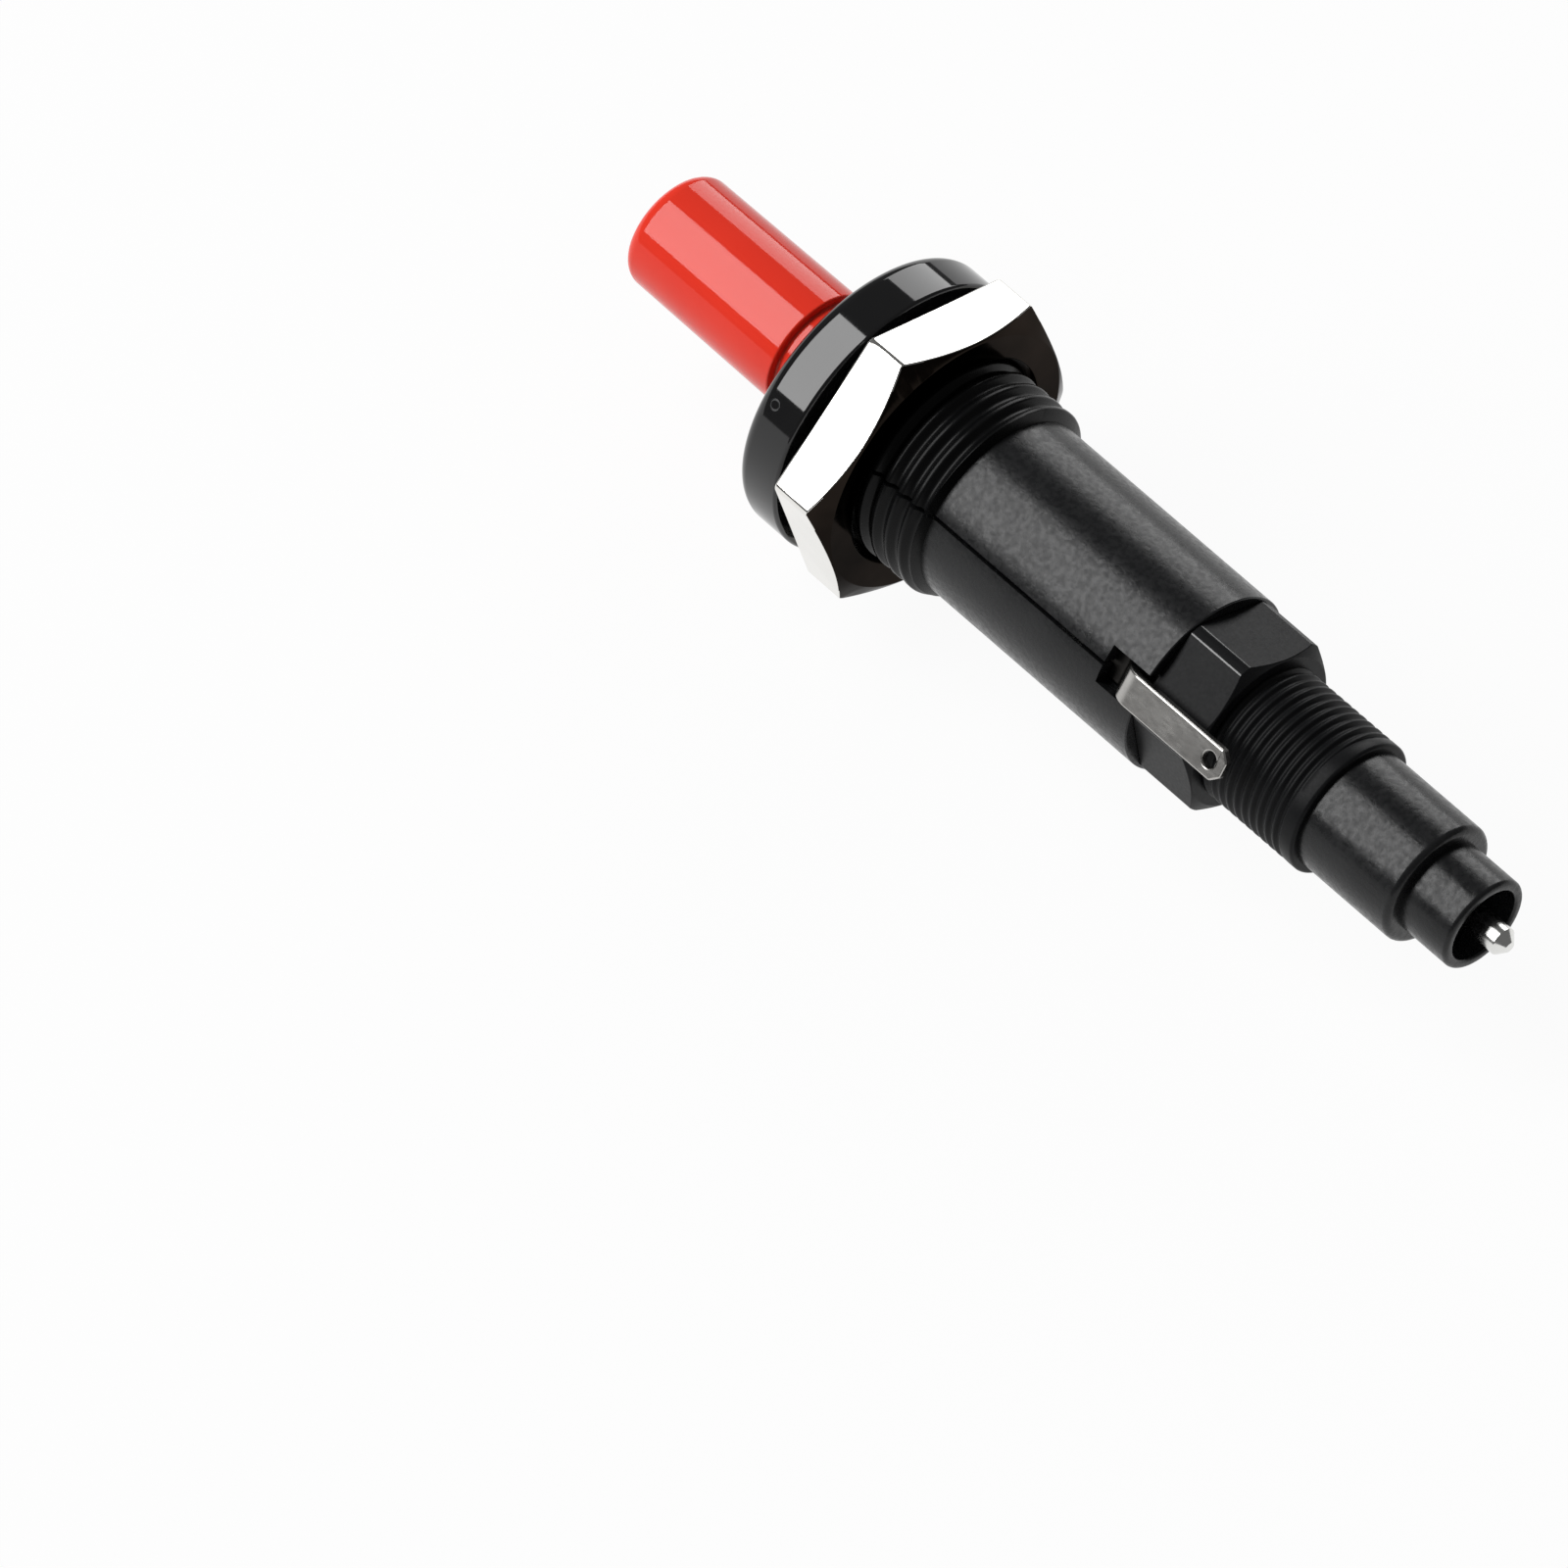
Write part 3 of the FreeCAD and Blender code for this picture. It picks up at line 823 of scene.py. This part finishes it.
def build_pieces(looks):
    """The modelled pieces, each on its body."""
    satin = looks["black_moulding"]
    threads = looks["thread_black"]
    dress(housing_moulding(), "housing", "housing", "black_moulding", satin, looks["gloss_black"], threads,
          looks["gate_grey"])
    dress(rear_moulding(), "housing", "rear_insulator", "black_moulding", satin, looks["flat_black"],
          looks["edge_black"])
    # The nut's second finish is nickel with a painted dark reflection
    dress(panel_nut(), "nut", "hex_nut", "bright_nickel", looks["bright_nickel"], looks["nickel_painted_dark_reflection"])
    dress(red_button(), "button", "button_cap", "red_moulding", looks["red_moulding"])
    # The strip's second finish is painted shade under the barrel
    dress(earth_strip(), "housing", "ground_strip", "tinned_strip", looks["tinned_strip"],
          looks["strip_painted_shade"])
    dress(terminal_pin(), "housing", "hv_terminal_pin", "bright_nickel", looks["pin_nickel"])
    return_coil = coil(
        "return_coil", return_coil_front, return_coil_rear, return_mean_r, return_wire, return_turns)
    dress(return_coil, "housing", "return_spring", "spring_steel", looks["spring_steel"])
    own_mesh(return_coil)
    impact_coil = coil(
        "impact_coil", impact_coil_front, impact_coil_rear, impact_mean_r, impact_wire, impact_turns)
    dress(impact_coil, "button", "impact_spring", "spring_steel", looks["spring_steel"])
    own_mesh(impact_coil)


def dress_nodes(looks):
    """The finish of each CAD node that stays as it is."""
    for part in frame["record"]["subparts"]:
        node = frame["nodes"][part["node"]]
        if node.hide_render:
            continue
        node.data.materials.clear()
        node.data.materials.append(looks[part["material_slot"]])


# Camera: the photograph's view, as an angle and the origin's place in the picture
picture_size = 1600
view_azimuth = math.radians(48.04)
view_elevation = math.radians(52.44)
view_distance = 1210.0
pixels_per_mm = 13.348
origin_pixel = (914.8, 427.9)
sensor = 36.0


def camera():
    """Camera at the photograph's angle, un-rolled, looking beside the origin."""
    a, e = view_azimuth, view_elevation
    back = Vector((math.sin(a) * math.cos(e), -math.cos(a) * math.cos(e), math.sin(e)))
    right = Vector((math.cos(a), math.sin(a), 0))
    up = back.cross(right)
    across = (origin_pixel[0] - picture_size / 2) / pixels_per_mm
    down = (origin_pixel[1] - picture_size / 2) / pixels_per_mm
    lens = bpy.data.cameras.new("camera")
    lens.sensor_width = sensor
    lens.lens = pixels_per_mm * view_distance * sensor / picture_size
    lens.clip_start = 0.05
    lens.clip_end = 50
    eye = bpy.data.objects.new("camera", lens)
    eye.location = (back * view_distance - right * across + up * down) * MM
    eye.rotation_mode = "QUATERNION"
    eye.rotation_quaternion = (-back).to_track_quat("-Z", "Y")
    bpy.context.scene.collection.objects.link(eye)
    bpy.context.scene.camera = eye


# Light: two soft boxes, each with its clock angle, the arc that it spans and its radiance, placed by
# the bands that they leave on the round parts, and a floor that shows white at floor_white
lamp_distance = 1.2
lamp_length = 0.42
lamp_lean = -0.4533
object_middle = Vector((0.021, 0, 0))
boxes = [("broad_box", 33.0, 60.0, 7.0), ("narrow_box", -66.0, 32.0, 3.8)]
world_strength = 0.15
floor_z = -0.0139
floor_size = 6.0
floor_colour = 0.9
floor_white = 0.94


def soft_box(name, clock, arc, radiance):
    """A rectangular lamp at a clock angle, which spans the given arc round the object."""
    side = math.sqrt(1 - lamp_lean ** 2)
    turn = math.radians(clock)
    out = Vector((lamp_lean, -side * math.sin(turn), side * math.cos(turn)))
    along = (Vector((1, 0, 0)) - out * out.x).normalized()
    across = along.cross(out)
    width = 2 * lamp_distance * math.tan(math.radians(arc) / 2)
    light = bpy.data.lights.new(name, "AREA")
    light.shape = "RECTANGLE"
    light.size = width
    light.size_y = lamp_length
    light.energy = radiance * math.pi * width * lamp_length
    lamp = bpy.data.objects.new(name, light)
    turned = Matrix((across, along, out)).transposed().to_4x4()
    lamp.matrix_world = Matrix.Translation(object_middle + out * lamp_distance) @ turned
    lamp.visible_camera = False
    bpy.context.scene.collection.objects.link(lamp)


def world():
    """Even pale surroundings."""
    surroundings = bpy.data.worlds.new("surroundings")
    surroundings.use_nodes = True
    surroundings.node_tree.nodes["Background"].inputs["Color"].default_value = (1, 1, 1, 1)
    surroundings.node_tree.nodes["Background"].inputs["Strength"].default_value = world_strength
    bpy.context.scene.world = surroundings


def floor():
    """Pale floor that shows white and keeps a faint shadow."""
    made = bmesh.new()
    bmesh.ops.create_grid(made, x_segments=1, y_segments=1, size=floor_size / 2)
    ground = to_object("floor", made)
    ground.location.z = floor_z
    material = bpy.data.materials.new("floor_white")
    material.use_nodes = True
    nodes = material.node_tree.nodes
    links = material.node_tree.links
    paint = nodes["Principled BSDF"]
    paint.inputs["Base Color"].default_value = (floor_colour, floor_colour, floor_colour, 1)
    paint.inputs["Roughness"].default_value = 0.9
    paint.inputs["Specular IOR Level"].default_value = 0.0
    glow = nodes.new("ShaderNodeEmission")
    rays = nodes.new("ShaderNodeLightPath")
    seen = rays.outputs["Is Camera Ray"]
    for kind in ("Is Glossy Ray", "Is Transmission Ray"):
        larger = nodes.new("ShaderNodeMath")
        larger.operation = "MAXIMUM"
        links.new(seen, larger.inputs[0])
        links.new(rays.outputs[kind], larger.inputs[1])
        seen = larger.outputs["Value"]
    share = nodes.new("ShaderNodeMath")
    share.operation = "MULTIPLY"
    share.inputs[1].default_value = floor_white
    links.new(seen, share.inputs[0])
    mix = nodes.new("ShaderNodeMixShader")
    links.new(share.outputs["Value"], mix.inputs["Fac"])
    links.new(paint.outputs["BSDF"], mix.inputs[1])
    links.new(glow.outputs["Emission"], mix.inputs[2])
    links.new(mix.outputs["Shader"], nodes["Material Output"].inputs["Surface"])
    ground.data.materials.append(material)


looks = finishes()
build_pieces(looks)
dress_nodes(looks)
camera()
for box in boxes:
    soft_box(*box)
world()
floor()
bpy.context.scene.view_settings.view_transform = "Standard"
